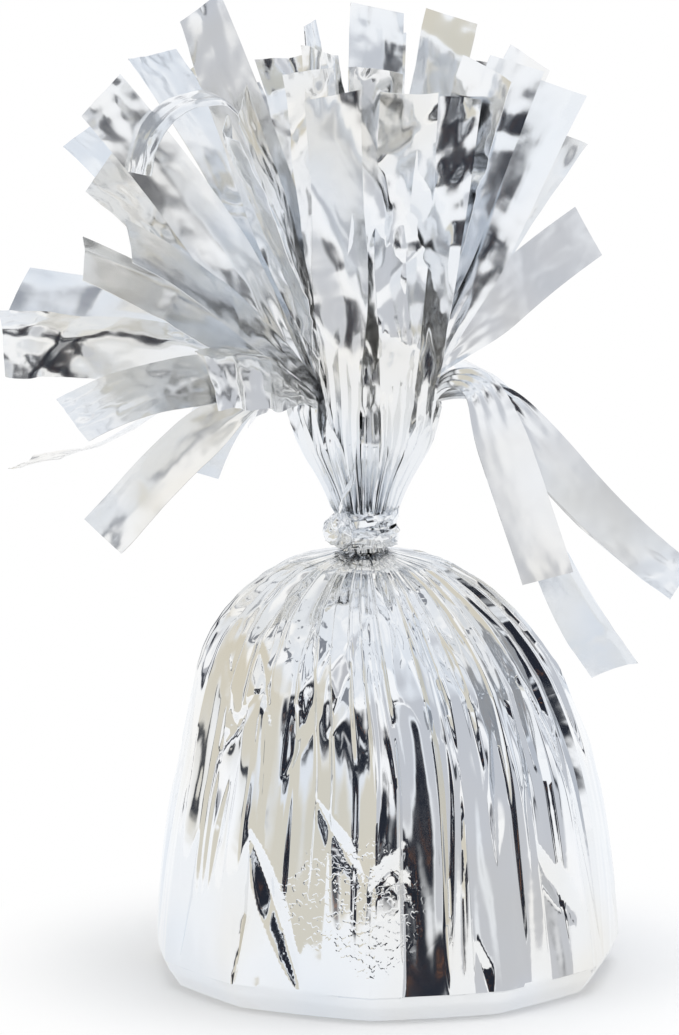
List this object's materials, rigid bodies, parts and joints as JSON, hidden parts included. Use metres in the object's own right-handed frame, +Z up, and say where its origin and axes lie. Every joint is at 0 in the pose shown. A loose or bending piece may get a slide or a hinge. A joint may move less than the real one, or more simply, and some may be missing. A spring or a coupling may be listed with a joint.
{
  "type": "balloon weight",
  "caption": "Filled bell wrapped in pleated silver film, tied at the neck, with the film's slit edge fanning into a tuft of strips; a balloon's ribbon is tied to the neck.",
  "frame": {"origin": "middle of the base, on the surface that the weight stands on", "axes": "+Z up through the neck; +X to the right and -Y towards the viewer, as pictured"},
  "size_m": [0.1007, 0.093, 0.1399],
  "materials": {
    "foil": "bright metallised film, crinkled",
    "cup": "moulded, smooth",
    "fill": "packed sand, dull",
    "disc": "plain card, dull"
  },
  "bodies": {
    "root": {"base_disc": "disc", "bell_cup": "cup", "foil_neck": "foil", "foil_wrap": "foil", "strip_back_01": "foil", "strip_back_02": "foil", "strip_back_04": "foil", "strip_back_05": "foil", "strip_back_06": "foil", "strip_back_07": "foil", "strip_back_08": "foil", "strip_back_09": "foil", "strip_back_10": "foil", "strip_back_11": "foil", "strip_front_01": "foil", "strip_front_02": "foil", "strip_front_03": "foil", "strip_front_04": "foil", "strip_front_05": "foil", "strip_front_06": "foil", "strip_left_01": "foil", "strip_left_02": "foil", "strip_left_03": "foil", "strip_left_04": "foil", "strip_left_05": "foil", "strip_left_06": "foil", "strip_left_07": "foil", "strip_left_08": "foil", "strip_left_09": "foil", "strip_left_10": "foil", "strip_left_11": "foil", "strip_left_14": "foil", "strip_left_15": "foil", "strip_left_16": "foil", "strip_left_17": "foil", "strip_left_18": "foil", "strip_top_01": "foil", "strip_top_02": "foil", "strip_top_03": "foil", "strip_top_04": "foil", "strip_top_05": "foil", "strip_top_06": "foil", "strip_top_07": "foil", "strip_top_08": "foil", "strip_top_09": "foil", "tie_band": "foil", "tie_end": "foil", "tie_knot": "foil", "weight_fill": "fill"},
    "ribbon_left_12": {"strip_left_12": "foil"},
    "ribbon_left_13": {"strip_left_13": "foil"},
    "ribbon_right_01": {"strip_right_01": "foil"},
    "ribbon_right_02": {"strip_right_02": "foil"},
    "ribbon_right_03": {"strip_right_03": "foil"},
    "ribbon_right_04": {"strip_right_04": "foil"},
    "ribbon_right_05": {"strip_right_05": "foil"},
    "ribbon_back_03": {"strip_back_03": "foil"}
  },
  "joints": [
    {"name": "flex_left_12", "type": "hinge", "parent": "root", "child": "ribbon_left_12", "pos_m": [-0.01162, -0.00582, 0.08393], "axis": [0.5592, -0.829, 0], "range_deg": [-10, 10], "stiffness_Nm_per_rad": 0.002},
    {"name": "flex_left_13", "type": "hinge", "parent": "root", "child": "ribbon_left_13", "pos_m": [-0.01152, 0.00596, 0.08344], "axis": [-0.5736, -0.8192, 0], "range_deg": [-10, 10], "stiffness_Nm_per_rad": 0.002},
    {"name": "flex_right_01", "type": "hinge", "parent": "root", "child": "ribbon_right_01", "pos_m": [0.00362, 0.00413, 0.08385], "axis": [-0.5299, 0.848, 0], "range_deg": [-10, 10], "stiffness_Nm_per_rad": 0.002},
    {"name": "flex_right_02", "type": "hinge", "parent": "root", "child": "ribbon_right_02", "pos_m": [0.00618, -0.00488, 0.0836], "axis": [0.4695, 0.8829, 0], "range_deg": [-10, 8], "stiffness_Nm_per_rad": 0.002},
    {"name": "flex_right_03", "type": "hinge", "parent": "root", "child": "ribbon_right_03", "pos_m": [0.0073, -0.00145, 0.08397], "axis": [0.1392, 0.9903, 0], "range_deg": [-10, 6], "stiffness_Nm_per_rad": 0.002},
    {"name": "flex_right_04", "type": "hinge", "parent": "root", "child": "ribbon_right_04", "pos_m": [0.00717, 0.00216, 0.08398], "axis": [-0.2079, 0.9781, 0], "range_deg": [-10, 6], "stiffness_Nm_per_rad": 0.002},
    {"name": "flex_right_05", "type": "hinge", "parent": "root", "child": "ribbon_right_05", "pos_m": [0.00541, 0.00611, 0.0839], "axis": [-0.5878, 0.809, 0], "range_deg": [-10, 6], "stiffness_Nm_per_rad": 0.002},
    {"name": "flex_back_03", "type": "hinge", "parent": "root", "child": "ribbon_back_03", "pos_m": [-0.00155, 0.0103, 0.08351], "axis": [-0.9903, 0.1392, 0], "range_deg": [-10, 10], "stiffness_Nm_per_rad": 0.002}
  ]
}
